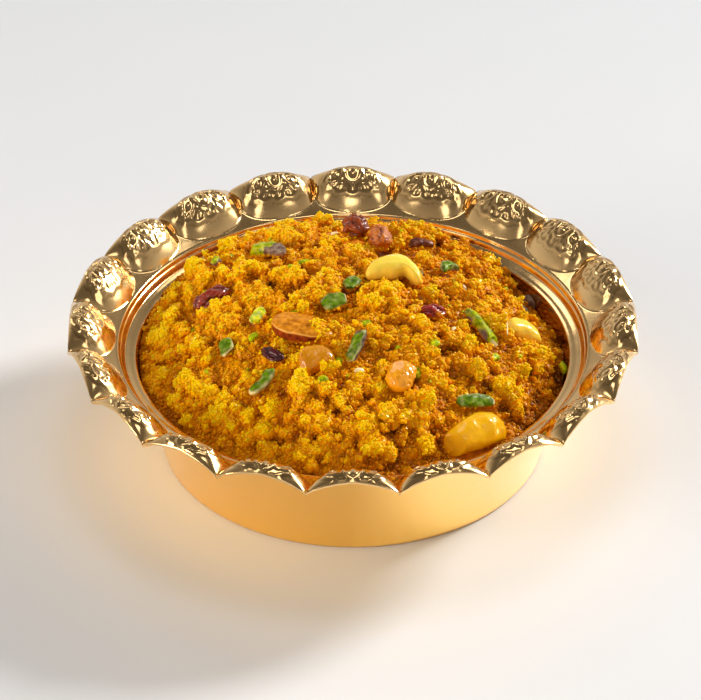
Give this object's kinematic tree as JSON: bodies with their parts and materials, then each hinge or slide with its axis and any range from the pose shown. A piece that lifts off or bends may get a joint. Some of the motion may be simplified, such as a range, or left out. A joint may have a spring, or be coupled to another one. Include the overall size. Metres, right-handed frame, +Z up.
{
  "type": "moong dal halwa in its serving bowl",
  "caption": "Crumbly golden lentil halwa heaped in a flared metal serving bowl with a scalloped, embossed rim, topped with nuts and raisins; stands free on its flat base.",
  "frame": {"origin": "centre of the bowl's flat base, on the surface it stands on", "axes": "+Z up; -Y towards the side shown at the front of the picture; +X to its right"},
  "size_m": [0.1976, 0.1976, 0.0642],
  "materials": {
    "bowl_metal": "polished gold-toned sheet, pressed; satin outside the body",
    "halwa": "moist crumbly food, translucent golden yellow with small glossy glints",
    "cashew": "whole and broken cashew, glazed with ghee",
    "almond": "half almond, cut face up, brown skin at one edge",
    "raisin": "wrinkled, glossy, dark red-brown",
    "pistachio": "cut pistachio, bright green with purple-brown skin"
  },
  "bodies": {
    "root": {"bowl": "bowl_metal", "halwa": "halwa", "cashew_1": "cashew", "cashew_2": "cashew", "cashew_3": "cashew", "cashew_4": "cashew", "almond_half": "almond", "raisin_1": "raisin", "raisin_2": "raisin", "raisin_3": "raisin", "raisin_4": "raisin", "raisin_5": "raisin", "raisin_6": "raisin", "pistachio_1": "pistachio", "pistachio_2": "pistachio", "pistachio_3": "pistachio", "pistachio_4": "pistachio", "pistachio_5": "pistachio", "pistachio_6": "pistachio", "pistachio_7": "pistachio", "pistachio_8": "pistachio", "pistachio_9": "pistachio", "pistachio_10": "pistachio", "pistachio_11": "pistachio"}
  },
  "joints": []
}
